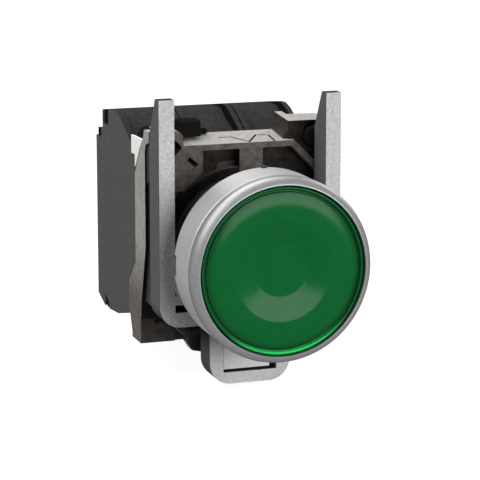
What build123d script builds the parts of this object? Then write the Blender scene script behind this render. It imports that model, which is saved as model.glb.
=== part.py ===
from build123d import *
import os
from math import cos, radians, sin, sqrt, tan

# Illuminated flush push button with a metal bezel, for a round hole in a panel.
# +X is to the right seen from the front, -Y is the front, +Z is up, millimetres.
# The origin lies on the button axis, in the plane where the gasket meets the panel.

# Width shared by the clamp frame, the collar and the row of three blocks
overall_width = 30.0

# Bezel: one die-cast piece of front ring, side wall, floor and sleeve
bezel_radius = 14.5
bezel_projection = 10.4
ring_depth = 2.8
ring_round = 0.9
ring_land = 0.4
ring_inner_chamfer = 0.5
wall_inset = 0.1
line_depth = 0.35
line_width = 0.3
bezel_floor = 1.5
notch_width = 3.2
small_notch_width = 1.0
notch_depth = 1.0
notch_reach = 1.2
gasket_thickness = 0.4
gasket_width = 2.6
gasket_bore_clearance = 0.3

# Sleeve of the bezel, which passes through the panel hole and locks in the collar
sleeve_radius = 10.9
sleeve_length = 16.6
sleeve_bore_radius = 9.5
sleeve_rear_bore_radius = 9.3
shoulder_radius = 7.9
shoulder_front = 5.2
shoulder_thickness = 1.2
lock_groove_depth = 0.7
lock_groove_width = 1.8
lock_slot_angle = 24.0
lock_turn = 25.0

# Lens and the moving pieces behind it
button_travel = 3.5
lens_gap = 0.2
lens_recess = 0.4
lens_wall = 1.2
lens_skirt_wall = 1.2
lens_rim_width = 0.45
lens_groove_width = 0.35
lens_groove_depth = 0.5
lens_shoulder_drop = 0.9
dish_radius = 8.8
dish_depth = 1.6
carrier_flange = 1.4
carrier_tube_radius = 7.6
carrier_tube_bore = 6.4
carrier_fit = 0.05
pusher_thickness = 1.9
pusher_clearance = 0.15
button_stop_gap = 0.3
spring_wire = 0.7
spring_turns = 5
spring_clearance = 0.4
seal_thickness = 1.4
seal_clearance = 0.08

# Clamp frame: two uprights, a bar, a half ring round the sleeve and a tab
frame_gap = 5.3
frame_depth = 5.3
upright_width = 2.5
upright_top = 24.6
upright_tip_depth = 2.1
upright_taper = 6.0
bar_bottom = -11.5
bar_height = 2.4
bar_corner = 3.4
half_ring_outer = 13.7
half_ring_clearance = 0.5
half_ring_depth = 3.4
web_height = 1.6
tab_width = 13.4
tab_bottom = -21.5
tab_corner = 3.5
tab_setback = 0.5
tab_rear_setback = 0.1
tab_border = 2.25
tab_foot = 1.9
tab_plate_depth = 0.8
tab_gap_depth = 3.6
tab_gap = 0.3
tab_wide_gap = 0.9

# Collar body
rim_front = 11.0
plate_front = 13.6
collar_rear = 18.5
rim_side_inset = 0.6
rim_top = 16.4
rim_bottom = -14.5
rim_diagonal = 5.2
rim_wall = 0.95
collar_bore_clearance = 0.2
hub_wall = 1.3
hub_front_step = 0.6
ring_pocket_radius = 13.35
deck_rise = 0.7
side_plate_thickness = 1.1
side_plate_lead = 0.3
side_plate_rear = 19.2
foot_width = 2.25
foot_lead = 2.5
foot_top = -9.1
beam_bottom = -16.6
beam_height = 3.3
beam_front = 16.6
beam_rear = 23.3
beam_depth = 5.0
corner_wall = 0.7
screw_inset = 2.3
screw_z = 16.8
low_boss_front = 11.0
low_boss_rear = 16.4
low_boss_top = 18.85
low_boss_reach = 3.4
low_boss_pocket = 2.75
low_boss_pocket_x = -12.1
low_boss_pocket_z = 14.9
high_boss_front = 11.8
high_boss_top = 19.4
high_boss_rise = 0.55
high_boss_reach = 4.25
high_boss_pocket = 2.1
high_boss_pocket_x = 13.0
high_boss_pocket_z = 17.1
boss_pocket_depth = 2.4
boss_pocket_wall = 0.8
groove_width = 0.35
groove_depth = 0.5

# Locking ring with its lever
ring_clearance = 0.12
lock_ring_front_gap = 0.1
lock_ring_rear_gap = 0.25
lug_angle = 20.0
lug_gap = 0.1
lug_width = 1.4
lever_width = 8.2
lever_end = 19.0
lever_thickness = 2.2

# Clamp screws
clamp_screw_radius = 1.75
clamp_screw_length = 9.0
screw_fit = 0.06
tip_gap = 0.05

# Contact and light blocks, three side by side
block_gap = 0.2
block_front = 18.8
block_rear = 43.6
block_shoulder = 2.5
block_shoulder_z = 13.6
cover_front = 38.0
cover_foot_front = 28.6
cover_split_z = -12.0
block_top = 19.5
block_top_fall = 1.0
block_ledge = 15.4
block_ledge_fall = 0.55
block_step = 39.4
block_bottom = -15.6
well_bottom = 14.2
well_rear = 33.0
well_rear_z = 18.7
side_wall = 0.9
cavity_half_width = 3.3
cavity_half_height = 8.3
cavity_front = 21.6
cover_gap = 0.05
terminal_z = 10.2
chamber_inner = 6.9
chamber_outer = 13.4
chamber_rear = 42.7
chamber_half_width = 3.6
driver_hole_radius = 2.7
wire_half_width = 2.3
notch_side_depth = 0.35
notch_front = 35.6
top_notch_z = 16.2
ledge_notch_front = 40.3
ledge_notch_z = 13.6
flare_clearance = 0.3
flare_top = -3.4

# Plungers, bridges and terminals
stem_inset = 0.15
stem_width = 2.8
stem_half_height = 1.5
stem_clearance = 0.12
stem_overlap = 1.6
carriage_front = 22.0
carriage_length = 9.0
carriage_half_width = 2.8
carriage_half_height = 2.2
window_front = 2.5
window_length = 5.0
window_half_width = 1.8
bridge_half_width = 1.5
bridge_thickness = 0.8
bridge_half_length = 6.8
contact_radius = 1.0
contact_thickness = 0.6
contact_z = 5.6
contact_gap = 2.0
closed_gap = 0.05
strip_thickness = 0.8
strip_half_width = 2.0
strip_inner_z = 4.6
strip_riser_z = 7.9
open_arm_front = 32.6
closed_arm_front = 25.6
terminal_plate_end = 12.7
return_wire = 0.5
return_radius = 1.6
return_turns = 5
terminal_screw_radius = 1.45
terminal_screw_fit = 0.05
terminal_screw_length = 6.0
terminal_head_radius = 2.45
terminal_head_height = 1.8
clamp_plate_gap = 0.15
clamp_plate_thickness = 0.8
clamp_plate_half = 2.9
clamp_plate_leg = 0.7

# Lamp, board, release levers and catch
lamp_radius = 5.0
lamp_front = 4.0
lamp_base_radius = 3.6
lamp_fit = 0.1
lamp_tail = 0.6
board_thickness = 1.2
board_half_height = 6.4
release_thickness = 1.3
release_clearance = 0.3
release_top_lead = 1.1
release_top_rise = 3.5
release_bend_lead = 2.8
release_bend_rise = 1.6
release_tip_drop = 1.7
release_foot_rise = 0.4
catch_width = 3.6
catch_gap = 0.3
catch_bottom = 17.2
catch_top = 19.7
catch_setback = 0.8
catch_foot_length = 1.9

# Values worked out from the sizes above
bezel_front = -bezel_projection
wall_radius = bezel_radius - wall_inset
bezel_rear = -gasket_thickness
lens_radius = bezel_radius - ring_round - ring_land - lens_gap
cavity_radius = lens_radius + lens_gap
cavity_floor = bezel_rear - bezel_floor
lens_front = bezel_front + lens_recess
lens_rear = cavity_floor - button_travel - button_stop_gap
lens_inner_front = lens_front + lens_wall + dish_depth
pusher_rear = block_front - button_travel - button_stop_gap
pusher_radius = sleeve_rear_bore_radius - pusher_clearance
frame_front = frame_gap
frame_rear = frame_gap + frame_depth
frame_half = overall_width / 2
upright_inner = frame_half - upright_width
collar_half = overall_width / 2
plate_inner = collar_half - side_plate_thickness
plate_edge = plate_front - side_plate_lead
rim_half_width = collar_half - rim_side_inset
rim_flat = rim_half_width - rim_diagonal
screw_x = frame_half - screw_inset
block_pitch = overall_width / 3
block_width = block_pitch - block_gap
shoulder_y = block_front + block_shoulder
stem_outer = pusher_radius - stem_inset
stem_inner = stem_outer - stem_width
collar_bore = sleeve_radius + collar_bore_clearance
lock_ring_inner = sleeve_radius + ring_clearance
lock_ring_outer = ring_pocket_radius - ring_clearance
lock_ring_front = plate_front + lock_ring_front_gap
lock_ring_rear = collar_rear - lock_ring_rear_gap
lock_groove_front = lock_ring_front - lug_gap
screw_tip = frame_rear + tip_gap
plunger_tip = pusher_rear + button_stop_gap
terminal_plate_front = cover_front - cover_gap
board_front = cavity_front + lamp_tail


def box(x0, x1, y0, y1, z0, z1):
    """Block between two corners."""
    block = Box(x1 - x0, y1 - y0, z1 - z0)
    return Pos((x0 + x1) / 2, (y0 + y1) / 2, (z0 + z1) / 2) * block


def rod(radius, y0, y1, x=0.0, z=0.0):
    """Cylinder along Y."""
    cylinder = Cylinder(radius, y1 - y0, rotation=(90, 0, 0))
    return Pos(x, (y0 + y1) / 2, z) * cylinder


def tube(outer, inner, y0, y1, x=0.0, z=0.0):
    """Hollow cylinder along Y."""
    return rod(outer, y0, y1, x, z) - rod(inner, y0 - 1, y1 + 1, x, z)


def side_prism(points, x0, x1):
    """Outline of (y, z) points, from x0 to x1."""
    plane = Plane(origin=(x0, 0, 0), x_dir=(0, 1, 0), z_dir=(1, 0, 0))
    return extrude(plane * make_face(Polyline(*points, close=True)), x1 - x0)


def front_prism(points, y0, y1):
    """Outline of (x, z) points, from y0 to y1."""
    plane = Plane(origin=(0, y1, 0), x_dir=(1, 0, 0), z_dir=(0, -1, 0))
    return extrude(plane * make_face(Polyline(*points, close=True)), y1 - y0)


def coil(radius, wire, y0, y1, turns, x=0.0):
    """Compression spring along Y whose wire fills the space from y0 to y1."""
    height = y1 - y0 - wire
    path = Helix(height / turns, height, radius, center=(x, y0 + wire / 2, 0), direction=(0, 1, 0))
    start = Plane(path @ 0, z_dir=path % 0)
    return sweep(start * Circle(wire / 2), path=path, is_frenet=True)


def make_bezel():
    """Ring, side wall, floor and sleeve in one casting, with its lock groove and slots."""
    line_front = bezel_front + ring_depth
    line_rear = line_front + line_width
    line_radius = wall_radius - line_depth
    shoulder_rear = shoulder_front + shoulder_thickness
    groove_rear = lock_groove_front + lock_groove_width
    groove_radius = sleeve_radius - lock_groove_depth
    front_edge = bezel_radius - ring_round
    side_start = bezel_front + ring_round
    arc_x = front_edge + ring_round * sin(radians(45))
    arc_y = side_start - ring_round * cos(radians(45))
    corner = ThreePointArc((front_edge, bezel_front), (arc_x, arc_y), (bezel_radius, side_start))
    rest = Polyline(
        (bezel_radius, side_start),
        (bezel_radius, line_front),
        (line_radius, line_front),
        (line_radius, line_rear),
        (wall_radius, line_rear),
        (wall_radius, bezel_rear),
        (sleeve_radius, bezel_rear),
        (sleeve_radius, lock_groove_front),
        (groove_radius, lock_groove_front),
        (groove_radius, groove_rear),
        (sleeve_radius, groove_rear),
        (sleeve_radius, sleeve_length),
        (sleeve_rear_bore_radius, sleeve_length),
        (sleeve_rear_bore_radius, shoulder_rear),
        (shoulder_radius, shoulder_rear),
        (shoulder_radius, shoulder_front),
        (sleeve_bore_radius, shoulder_front),
        (sleeve_bore_radius, cavity_floor),
        (cavity_radius, cavity_floor),
        (cavity_radius, bezel_front + ring_inner_chamfer),
        (front_edge - ring_land / 4, bezel_front),
        (front_edge, bezel_front),
    )
    bezel = revolve(make_face(corner + rest), Axis.Y, 360)
    for angle in (0, 180):
        slot = box(groove_radius, sleeve_radius + 1, lock_groove_front, sleeve_length + 1,
                   -groove_radius * sin(radians(lock_slot_angle / 2)),
                   groove_radius * sin(radians(lock_slot_angle / 2)))
        bezel -= Rot(0, angle - lock_turn, 0) * slot
    for width, angles in ((notch_width, (0, 180)), (small_notch_width, (90, 270))):
        notch = box(wall_radius - notch_reach, wall_radius + 1, bezel_rear - notch_depth, bezel_rear + 1,
                    -width / 2, width / 2)
        for angle in angles:
            bezel -= Rot(0, angle, 0) * notch
    return bezel


def make_gasket():
    """Flat rubber ring between the bezel and the panel."""
    inner = sleeve_radius + gasket_bore_clearance
    return tube(inner + gasket_width, inner, bezel_rear, 0)


def make_lens():
    """Cup with a narrow rim, a groove, a rounded shoulder and a shallow dish for the finger."""
    rim_inner = lens_radius - lens_rim_width
    shoulder_end = rim_inner - lens_groove_width
    shoulder_y = lens_front + lens_shoulder_drop
    groove_y = shoulder_y + lens_groove_depth
    edge_round = lens_rim_width / 2
    bore = lens_radius - lens_skirt_wall
    face = Spline(
        (0, lens_front + dish_depth),
        (dish_radius * 0.38, lens_front + dish_depth * 0.86),
        (dish_radius * 0.66, lens_front + dish_depth * 0.36),
        (dish_radius, lens_front),
        (dish_radius + 0.6 * (shoulder_end - dish_radius), lens_front + lens_shoulder_drop * 0.3),
        (shoulder_end, shoulder_y),
        tangents=[(1, 0), (1, 1)],
    )
    rest = Polyline(
        (shoulder_end, shoulder_y),
        (shoulder_end, groove_y),
        (rim_inner, groove_y),
        (rim_inner, lens_front + edge_round),
        (rim_inner + edge_round / 2, lens_front),
        (lens_radius - edge_round / 2, lens_front),
        (lens_radius, lens_front + edge_round),
        (lens_radius, lens_rear),
        (bore, lens_rear),
        (bore, lens_inner_front),
        (0, lens_inner_front),
        (0, lens_front + dish_depth),
    )
    return revolve(make_face(face + rest), Axis.Y, 360)


def make_carrier():
    """White flange that the lens snaps over, with the tube that slides in the sleeve."""
    bore = lens_radius - lens_skirt_wall - carrier_fit
    flange_rear = lens_inner_front + carrier_flange
    tube_end = pusher_rear - pusher_thickness / 4
    flange = tube(bore, carrier_tube_bore, lens_inner_front, flange_rear)
    return flange + tube(carrier_tube_radius, carrier_tube_bore, flange_rear, tube_end)


def make_pusher_ring():
    """Ring snapped on the end of the carrier tube; it keeps the carrier in and pushes the plungers."""
    front = pusher_rear - pusher_thickness
    body = tube(pusher_radius, carrier_tube_radius + carrier_fit, front, pusher_rear)
    lip_front = pusher_rear - pusher_thickness / 4
    return body + tube(carrier_tube_radius + 0.5, carrier_tube_bore + 0.2, lip_front, pusher_rear)


def make_return_spring():
    """Coil between the carrier's flange and the sleeve's shoulder."""
    flange_rear = lens_inner_front + carrier_flange
    radius = sleeve_bore_radius - spring_clearance - spring_wire / 2
    return coil(radius, spring_wire, flange_rear, shoulder_front, spring_turns)


def make_inner_seal():
    """Rubber ring behind the shoulder, round the sliding tube."""
    front = shoulder_front + shoulder_thickness
    return tube(sleeve_rear_bore_radius, carrier_tube_radius + seal_clearance, front, front + seal_thickness)


def make_clamp_frame():
    """Plated casting: uprights, bottom bar with round corners, half ring, web and tab."""
    ring_inner = sleeve_radius + half_ring_clearance
    ring_rear = frame_front + half_ring_depth
    taper_start = upright_top - upright_taper
    tip_rear = frame_front + upright_tip_depth
    upright = [
        (frame_front, bar_bottom),
        (frame_rear, bar_bottom),
        (frame_rear, taper_start),
        (tip_rear, upright_top),
        (frame_front, upright_top),
    ]
    frame = side_prism(upright, -frame_half, -upright_inner)
    frame += side_prism(upright, upright_inner, frame_half)
    frame += box(-frame_half, frame_half, frame_front, frame_rear, bar_bottom, bar_bottom + bar_height)
    corners = frame.edges().filter_by(Axis.Y).group_by(Axis.Z)[0].sort_by(Axis.X)
    frame = fillet([corners[0], corners[-1]], bar_corner)
    half_ring = tube(half_ring_outer, ring_inner, frame_front, ring_rear)
    half_ring &= box(-upright_inner, upright_inner, frame_front, ring_rear, -half_ring_outer, 0)
    frame += half_ring
    web_bottom = bar_bottom + bar_height + web_height - 0.4
    web = box(-upright_inner, upright_inner, frame_front, ring_rear, web_bottom, web_bottom + web_height)
    frame += web - rod(half_ring_outer - 0.3, frame_front - 1, ring_rear + 1)
    tab_front = frame_front + tab_setback
    tab_half = tab_width / 2
    tab = box(-tab_half, tab_half, tab_front, frame_rear + tab_rear_setback, tab_bottom, bar_bottom + 0.5)
    low_edges = tab.edges().filter_by(Axis.Y).group_by(Axis.Z)[0]
    tab = fillet(low_edges, tab_corner)
    window_half = tab_half - tab_border
    window_bottom = tab_bottom + tab_foot
    window_top = bar_bottom - 1.0
    tab -= box(-window_half, window_half, tab_front - 1, tab_front + tab_gap_depth, window_bottom, window_top)
    tab += box(-window_half + tab_gap, window_half - tab_wide_gap, tab_front + tab_plate_depth,
               tab_front + tab_gap_depth, window_bottom + tab_gap, window_top)
    frame += tab
    return frame - rod(ring_inner, frame_front - 1, frame_rear + 2)


def rim_outline(inset):
    """Eight-sided outline of the collar's front rim, moved inwards by an inset."""
    half = rim_half_width - inset
    top = rim_top - inset
    bottom = rim_bottom + inset
    flat = rim_flat - inset * tan(radians(22.5))
    drop = rim_diagonal * (half - flat) / (rim_half_width - rim_flat)
    return [
        (-flat, top), (flat, top), (half, top - drop), (half, bottom + drop),
        (flat, bottom), (-flat, bottom), (-half, bottom + drop), (-half, top - drop),
    ]


def plate_rear_edge(gap):
    """Rear edge of the collar's side plates; a gap makes the room that the blocks leave for it."""
    return [
        (beam_rear - 1.8 + gap, beam_bottom + 0.6),
        (beam_rear - 0.1 + gap, beam_bottom + 4.4),
        (beam_rear + gap, flare_top - 4.1),
        (beam_rear - 0.4 + gap, flare_top - 3.5 + gap),
        (side_plate_rear + gap, flare_top + gap / 2),
    ]


def release_edge(gap):
    """Edge of the collar's side plates that the release levers rest against, from the bottom up."""
    return [
        (collar_rear + 0.1 + gap, block_shoulder_z - release_tip_drop + gap / 2),
        (plate_edge + release_bend_lead + gap, block_shoulder_z + release_bend_rise + gap / 3),
        (plate_edge + release_top_lead + gap, block_shoulder_z + release_top_rise),
    ]


def make_side_plate(x0, x1):
    """Side wall of the collar, which widens rearwards at the bottom to carry the beam."""
    front = [
        (plate_edge + 0.3, low_boss_top),
        (low_boss_front, low_boss_top),
        (low_boss_front, low_boss_top - 1.65),
        (plate_edge - 0.5, low_boss_top - 2.25),
        (plate_edge, low_boss_top - 3.45),
        (plate_edge, 0),
        (plate_edge + 0.5, flare_top + 1.5),
        (plate_edge + foot_lead, foot_top),
        (beam_front, beam_bottom + 2.5),
        (beam_front - 0.1, beam_bottom + 0.3),
        (beam_front + 0.8, beam_bottom),
    ]
    top = [(side_plate_rear, block_shoulder_z - release_tip_drop - 0.9)]
    return side_prism(front + plate_rear_edge(0) + top + release_edge(0), x0, x1)


def make_deck():
    """Sloping top of the collar with the raised boss for the right clamp screw."""
    deck_top = rim_top + deck_rise
    deck = side_prism([
        (rim_front, rim_top - 1.0),
        (collar_rear, rim_top - 1.5),
        (collar_rear, deck_top),
        (rim_front, rim_top),
    ], -rim_flat, rim_flat)
    inner = screw_x - high_boss_reach
    deck += side_prism([
        (high_boss_front, 10.5),
        (collar_rear, 10.5),
        (collar_rear, high_boss_top + high_boss_rise),
        (high_boss_front, high_boss_top),
    ], inner, collar_half - 0.3)
    deck -= front_prism(rim_outline(rim_wall), rim_front - 1, plate_front)
    foot = [(inner - 0.9, rim_top - 0.1), (inner, rim_top + 1.4), (inner + 0.1, rim_top - 0.1)]
    deck += front_prism(foot, high_boss_front + 0.4, collar_rear)
    pocket = rod(high_boss_pocket, high_boss_front - 1, high_boss_front + boss_pocket_depth,
                 high_boss_pocket_x, high_boss_pocket_z)
    deck -= pocket & box(0, collar_half - boss_pocket_wall, rim_front - 1, collar_rear, 0, high_boss_top + 1)
    return deck - box(inner + 1.3, collar_half, low_boss_rear, collar_rear + 1,
                      screw_z - clamp_screw_radius - 1.0, high_boss_top + 1)


def make_low_boss():
    """Plain boss for the left clamp screw, with a round pocket in its front."""
    inner = -screw_x + low_boss_reach
    boss = box(-collar_half + 0.3, inner, low_boss_front, low_boss_rear, 10.5, low_boss_top)
    corner = boss.edges().filter_by(Axis.Y).group_by(Axis.Z)[-1].sort_by(Axis.X)[-1]
    boss = fillet(corner, 1.4)
    release_side = -frame_half + release_thickness + release_clearance
    boss -= box(-collar_half - 1, release_side, plate_front, low_boss_rear + 1, 12.0, low_boss_top + 1)
    pocket = rod(low_boss_pocket, low_boss_front - 1, low_boss_front + boss_pocket_depth,
                 low_boss_pocket_x, low_boss_pocket_z)
    return boss - (pocket & box(-collar_half + boss_pocket_wall, 0, rim_front - 1, collar_rear,
                                0, high_boss_top + 1))


def make_rim_details():
    """Walls between the hub and the rim: ribs, a round-cornered boss and a filled left corner."""
    hub_top = sqrt(collar_bore ** 2 - 4.0 ** 2)
    details = box(0.1, 4.0, rim_front + 0.3, plate_front, hub_top, rim_top - rim_wall / 2)
    details += box(0.1, 4.0, rim_front + 0.3, plate_front, rim_bottom + rim_wall / 2, -hub_top)
    boss = box(-6.1, -3.45, rim_front + 0.8, plate_front, 12.0, rim_top - rim_wall / 2)
    corner = boss.edges().filter_by(Axis.Y).group_by(Axis.Z)[0].sort_by(Axis.X)[-1]
    details += fillet(corner, 1.0)
    filled = front_prism([
        (-6.1, rim_top - 0.4),
        (-6.1, 12.2),
        (-9.3, 9.1),
        (-rim_half_width + 0.4, 9.1),
        (-rim_half_width + 0.4, rim_top - rim_diagonal),
        (-rim_flat, rim_top - 0.4),
    ], rim_front, plate_front)
    slot = Box(1.9, 4.4, 0.75)
    return details + (filled - Pos(-7.8, rim_front, 13.7) * Rot(0, 42, 0) * slot)


def cut_zigzag(collar):
    """Collar with the zigzag groove cut into its top deck."""
    slope = deck_rise / (collar_rear - rim_front)
    zigzag = [(-2.2, 14.9), (-0.2, 14.9), (1.8, 11.5), (4.2, 15.4), (6.2, 15.0), (6.0, 11.3)]
    for (xa, ya), (xb, yb) in zip(zigzag[:-1], zigzag[1:]):
        length = sqrt((xb - xa) ** 2 + (yb - ya) ** 2)
        bar = Box(length + groove_width, groove_width, 2 * groove_depth)
        middle_y = (ya + yb) / 2
        height = rim_top + slope * (middle_y - rim_front)
        along = Vector(xb - xa, yb - ya, slope * (yb - ya))
        side = Vector(0, 0, 1).cross(along).normalized()
        plane = Plane(origin=((xa + xb) / 2, middle_y, height), x_dir=along, z_dir=along.cross(side))
        collar -= plane.location * bar
    return collar


def make_collar():
    """Dark zinc casting that holds the sleeve, the screws and the blocks."""
    rim = front_prism(rim_outline(0), rim_front, plate_front)
    rim -= front_prism(rim_outline(rim_wall), rim_front - 1, plate_front + 1)
    collar = front_prism(rim_outline(0), plate_front, collar_rear) + rim
    collar += rod(collar_bore + hub_wall, rim_front + hub_front_step, plate_front)
    collar += make_rim_details() + make_deck() + make_low_boss()
    room_top = block_shoulder_z + release_top_rise + release_clearance
    release_room = release_edge(0) + [
        (plate_edge + 1.0, room_top),
        (collar_rear + 4, room_top),
        (collar_rear + 4, block_shoulder_z - release_tip_drop),
    ]
    release_inner = frame_half - release_thickness - release_clearance
    for sign in (1, -1):
        x0, x1 = sorted((sign * release_inner, sign * (frame_half + 1)))
        collar -= side_prism(release_room, x0, x1)
        x0, x1 = sorted((sign * plate_inner, sign * collar_half))
        collar += make_side_plate(x0, x1)
        # foot of the side plate and the wall that closes the corner above the beam
        x0, x1 = sorted((sign * (collar_half - foot_width), sign * (collar_half - 0.1)))
        collar += side_prism([
            (plate_edge + foot_lead, foot_top),
            (beam_front, beam_bottom + 2.5),
            (beam_front, beam_bottom),
            (collar_rear - 0.1, beam_bottom),
            (collar_rear - 0.1, foot_top),
        ], x0, x1)
    collar += box(-rim_half_width, rim_half_width, collar_rear - corner_wall, collar_rear,
                  beam_bottom + beam_height - 0.5, rim_bottom + rim_diagonal)
    collar += box(-collar_half, collar_half, beam_front, beam_front + beam_depth, beam_bottom,
                  beam_bottom + beam_height)
    for x in (-screw_x, screw_x):
        collar -= rod(clamp_screw_radius + screw_fit, rim_front - 1, collar_rear + 6, x, screw_z)
    # bore for the sleeve, pocket for the locking ring, slot for its lever
    collar -= rod(collar_bore, rim_front - 1, collar_rear + 1)
    collar -= rod(ring_pocket_radius, plate_front, collar_rear + 1)
    lever_reach = lever_end * sin(radians(lock_turn / 2)) + lever_width / 2 + 1.0
    collar -= box(-lever_reach, lever_reach, plate_front, beam_front + 0.5,
                  beam_bottom - 1, -ring_pocket_radius + 3)
    return cut_zigzag(collar)


def make_locking_ring():
    """Flat ring with two lugs that hold the sleeve, and a lever at the bottom."""
    ring = tube(lock_ring_outer, lock_ring_inner, lock_ring_front, lock_ring_rear)
    lug_tip = sleeve_radius - lock_groove_depth + lug_gap
    lug_half = lug_tip * tan(radians(lug_angle / 2))
    lug_rear = lock_ring_front + lug_width
    for sign in (1, -1):
        x0, x1 = sorted((sign * lug_tip, sign * (lock_ring_inner + 0.5)))
        ring += box(x0, x1, lock_ring_front, lug_rear, -lug_half, lug_half)
    lever_front = lock_ring_front + 0.9
    lever = box(-lever_width / 2, lever_width / 2, lever_front, lever_front + lever_thickness,
                -lever_end, -lock_ring_outer + 0.6)
    low_edges = lever.edges().filter_by(Axis.Y).group_by(Axis.Z)[0]
    lever = chamfer(low_edges, 1.2)
    return ring + Rot(0, lock_turn / 2, 0) * lever


def make_clamp_screw(x):
    """Headless screw with a cross slot in its rear end."""
    rear = screw_tip + clamp_screw_length
    screw = rod(clamp_screw_radius, screw_tip, rear, x, screw_z)
    screw = chamfer(screw.edges().filter_by(GeomType.CIRCLE), 0.25)
    screw -= box(x - 1.2, x + 1.2, rear - 0.9, rear + 1, screw_z - 0.25, screw_z + 0.25)
    return screw - box(x - 0.25, x + 0.25, rear - 0.9, rear + 1, screw_z - 1.2, screw_z + 1.2)


def block_outline():
    """Side outline of a block, as (y, z) points, from its front foot round to the bottom."""
    return [
        (block_front, cover_split_z),
        (block_front, block_shoulder_z),
        (shoulder_y, block_shoulder_z + 0.2),
        (shoulder_y, block_shoulder_z + 1.8),
        (shoulder_y + 7.3, block_top - 0.6),
        (well_rear - 2.0, block_top),
        (well_rear, block_top - 0.1),
        (block_step, block_top - block_top_fall),
        (block_step, block_ledge),
        (block_rear, block_ledge - block_ledge_fall),
        (block_rear, block_bottom + 1.5),
        (cover_front + 0.7, block_bottom),
        (block_front + 12.0, block_bottom + 0.7),
    ]


def cover_outline(gap):
    """Side outline of the rear cover; a gap makes the room that the housing leaves for it."""
    front = cover_front - gap
    foot = cover_foot_front - gap
    split = cover_split_z + gap
    return [
        (front, block_top + 2),
        (block_rear + 2, block_top + 2),
        (block_rear + 2, block_bottom - 2),
        (foot, block_bottom - 2),
        (foot, split),
        (front, split),
    ]


def corner_notches(center):
    """Side recesses beside the wire entries, on both sides of a block."""
    cuts = []
    for sign in (1, -1):
        face = center + sign * block_width / 2
        x0, x1 = sorted((face - sign * notch_side_depth, face + sign))
        cuts.append(box(x0, x1, notch_front, block_step - 0.1, top_notch_z, block_top + 1))
        cuts.append(box(x0, x1, ledge_notch_front, block_rear + 1, ledge_notch_z, block_ledge + 1))
        cuts.append(side_prism([
            (notch_front + 1.0, block_bottom + 1.4),
            (block_step - 0.2, block_bottom + 2.4),
            (block_step - 0.2, block_bottom - 1),
            (notch_front + 1.0, block_bottom - 1),
        ], x0, x1))
    return cuts


def make_housing(center, front_hole):
    """Moulded front housing of one block, open at the rear, with a sunk top between its side walls."""
    half = block_width / 2
    housing = side_prism(block_outline(), center - half, center + half)
    housing -= side_prism(cover_outline(cover_gap), center - half - 1, center + half + 1)
    inner = half - side_wall
    housing -= side_prism([
        (block_front - 1, well_bottom),
        (shoulder_y, well_bottom + 0.2),
        (well_rear - 3.0, well_rear_z - 1.5),
        (well_rear, well_rear_z),
        (cover_front + 1, well_rear_z),
        (cover_front + 1, block_top + 5),
        (block_front - 1, block_top + 5),
    ], center - inner, center + inner)
    housing -= box(center - cavity_half_width, center + cavity_half_width, cavity_front, cover_front + 1,
                   -cavity_half_height, cavity_half_height)
    shank = terminal_screw_radius + 0.4
    for z in (-terminal_z, terminal_z):
        housing -= rod(shank, terminal_plate_front - 5.0, cover_front + 1, center, z)
    housing -= front_hole
    # room for the collar's side plates
    plate_room = plate_rear_edge(flare_clearance) + [
        (side_plate_rear + flare_clearance, block_shoulder_z + 1),
        (block_front - 1, block_shoulder_z + 1),
        (block_front - 1, block_bottom - 1),
        (beam_rear - 1.8 + flare_clearance, block_bottom - 1),
    ]
    for sign in (1, -1):
        x0, x1 = sorted((sign * (plate_inner - flare_clearance), sign * (frame_half + 1)))
        housing -= side_prism(plate_room, x0, x1)
    for cut in corner_notches(center):
        housing -= cut
    return housing


def make_cover(center):
    """Rear cover of one block, with two terminal chambers, wire entries and driver holes."""
    half = block_width / 2
    cover = side_prism(block_outline(), center - half, center + half)
    cover &= side_prism(cover_outline(0), center - half - 1, center + half + 1)
    for sign in (1, -1):
        low, high = sorted((sign * chamber_inner, sign * chamber_outer))
        cover -= box(center - chamber_half_width, center + chamber_half_width, cover_front - 1,
                     chamber_rear, low, high)
        low, high = sorted((sign * (chamber_outer - 1), sign * (block_top + 1)))
        cover -= box(center - wire_half_width, center + wire_half_width, block_step, chamber_rear, low, high)
        cover -= rod(driver_hole_radius, chamber_rear - 1, block_rear + 1, center, sign * terminal_z)
    for cut in corner_notches(center):
        cover -= cut
    return cover


def stem_range(sign, clearance):
    """Left and right sides of a plunger's stem, or of its hole."""
    return sorted((sign * (stem_inner - clearance), sign * (stem_outer + clearance)))


def make_plunger(center, sign):
    """Plunger of a contact block: a stem through the front wall and a carriage with a window."""
    x0, x1 = stem_range(sign, 0)
    rear = carriage_front + carriage_length
    stem = box(x0, x1, plunger_tip, carriage_front + stem_overlap, -stem_half_height, stem_half_height)
    carriage = box(center - carriage_half_width, center + carriage_half_width, carriage_front, rear,
                   -carriage_half_height, carriage_half_height)
    low = carriage_front + window_front
    carriage -= box(center - window_half_width, center + window_half_width, low, low + window_length,
                    -carriage_half_height - 1, carriage_half_height + 1)
    return stem + carriage


def make_contact_housing(center, sign):
    """Housing of a contact block, with the hole for its plunger's stem."""
    x0, x1 = stem_range(sign, stem_clearance)
    reach = stem_half_height + stem_clearance
    stem_path = carriage_front + stem_overlap + button_travel + stem_clearance
    return make_housing(center, box(x0, x1, block_front - 1, stem_path, -reach, reach))


def make_bridge(center, front, contacts_rear):
    """Moving contact bridge with a silver button at each end."""
    bridge = box(center - bridge_half_width, center + bridge_half_width, front, front + bridge_thickness,
                 -bridge_half_length, bridge_half_length)
    button_front = front - contact_thickness
    if contacts_rear:
        button_front = front + bridge_thickness
    for z in (-contact_z, contact_z):
        bridge += rod(contact_radius, button_front, button_front + contact_thickness, center, z)
    return bridge


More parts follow.
